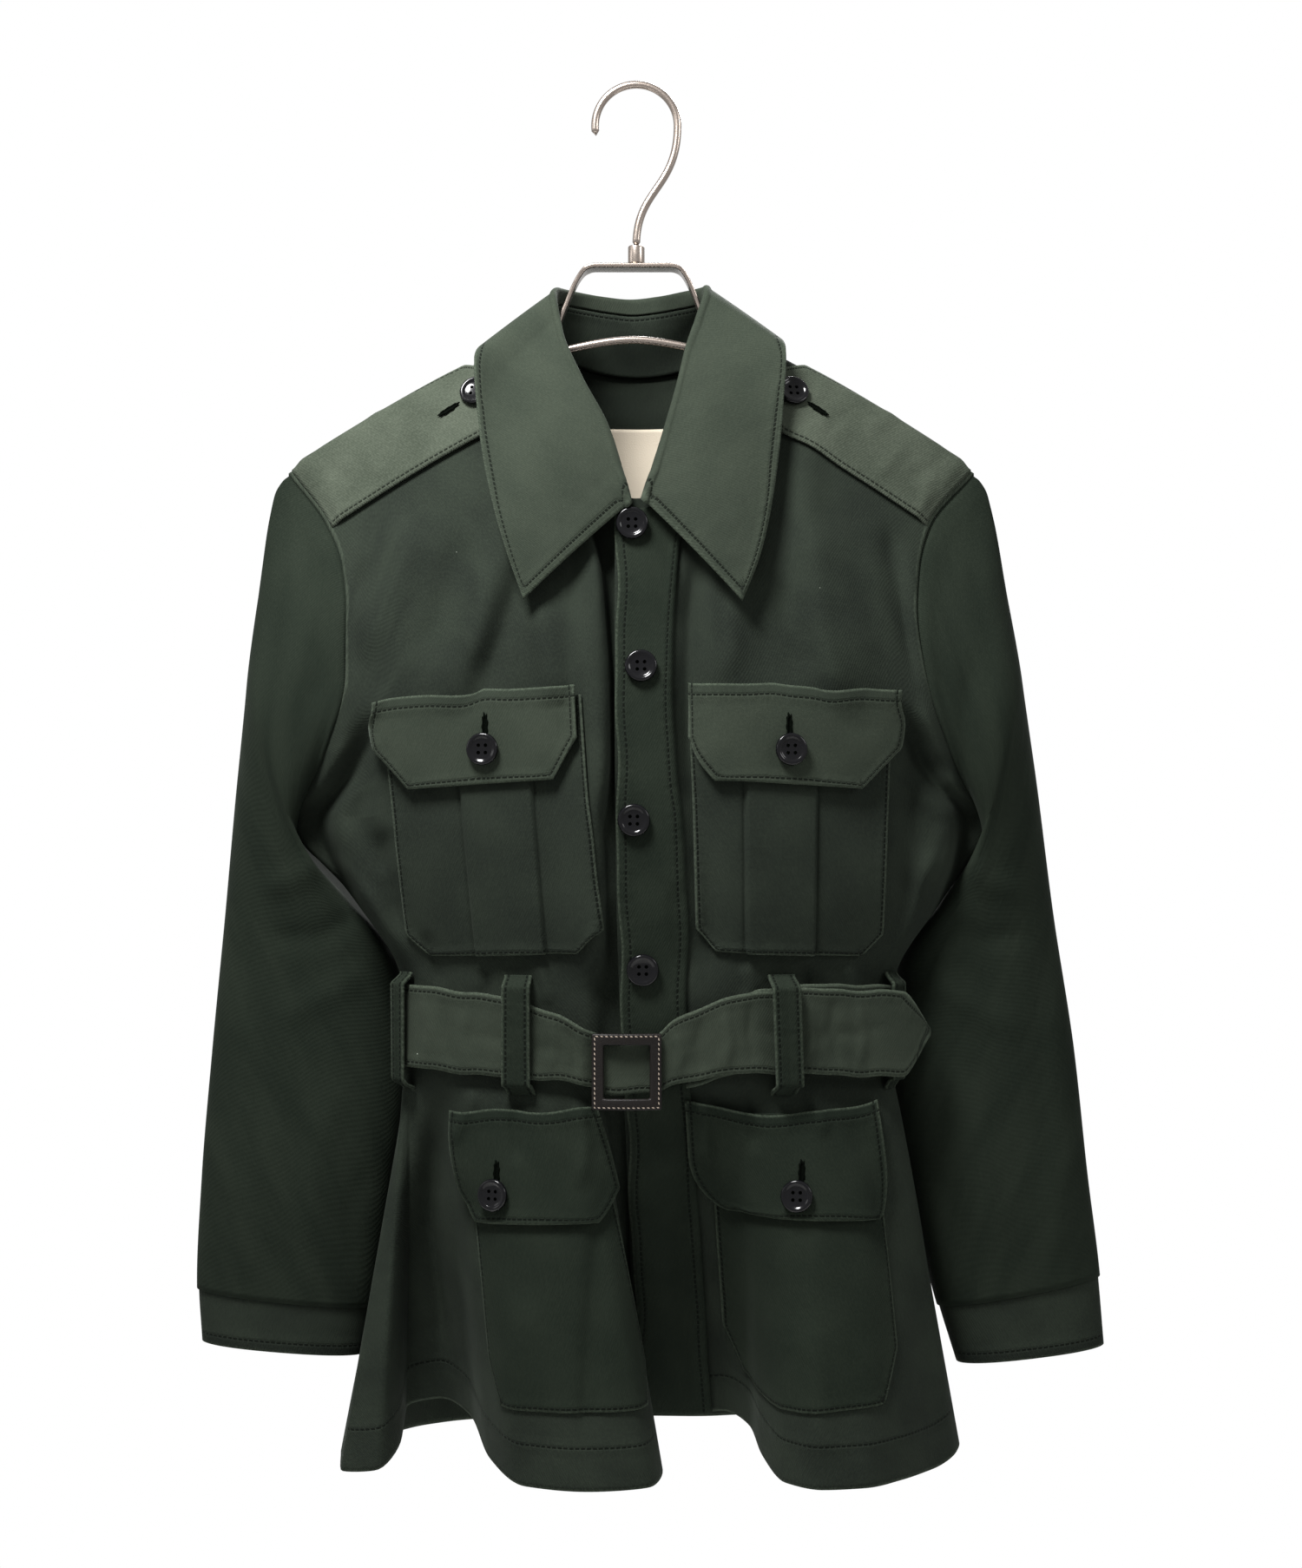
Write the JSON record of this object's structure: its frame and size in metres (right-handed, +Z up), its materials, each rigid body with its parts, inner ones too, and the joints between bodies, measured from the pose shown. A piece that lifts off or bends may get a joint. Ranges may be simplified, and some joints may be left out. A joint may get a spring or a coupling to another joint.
{
  "type": "military jacket on a hanger",
  "caption": "Belted long-sleeved jacket with a turned-down collar, epaulettes, flapped chest and skirt pockets and a buttoned placket, hung on a steel hanger.",
  "frame": {"origin": "inside top of the hanger's hook, where a rail holds it", "axes": "+Z up, -Y the way the front faces, +X the wearer's left"},
  "size_m": [0.5485, 0.1835, 0.8199],
  "materials": {
    "cloth": "dark green cotton twill, matt",
    "button": "glossy black, four holes",
    "buckle": "stitched black brown leather",
    "label": "bare cream tape",
    "steel": "satin nickel"
  },
  "bodies": {
    "root": {"right_front": "cloth", "left_front": "cloth", "back": "cloth", "placket": "cloth", "right_sleeve": "cloth", "left_sleeve": "cloth", "right_cuff": "cloth", "left_cuff": "cloth", "collar_stand": "cloth", "collar_fall": "cloth", "right_epaulette": "cloth", "left_epaulette": "cloth", "right_chest_pocket": "cloth", "left_chest_pocket": "cloth", "right_chest_flap": "cloth", "left_chest_flap": "cloth", "right_skirt_pocket": "cloth", "left_skirt_pocket": "cloth", "right_skirt_flap": "cloth", "left_skirt_flap": "cloth", "belt": "cloth", "belt_free_end": "cloth", "right_side_belt_loop": "cloth", "right_belt_loop": "cloth", "left_belt_loop": "cloth", "left_side_belt_loop": "cloth", "sleeve_patch": "cloth", "shoulder_flash": "cloth", "right_cuff_button": "button", "left_cuff_button": "button", "right_epaulette_button": "button", "left_epaulette_button": "button", "right_chest_button": "button", "left_chest_button": "button", "right_skirt_button": "button", "left_skirt_button": "button", "front_button_1": "button", "front_button_2": "button", "front_button_3": "button", "front_button_4": "button", "buckle": "buckle", "neck_label": "label", "hanger_hook": "steel", "hanger_ferrule": "steel", "hanger_frame": "steel", "hanger_arms": "steel"}
  },
  "joints": []
}
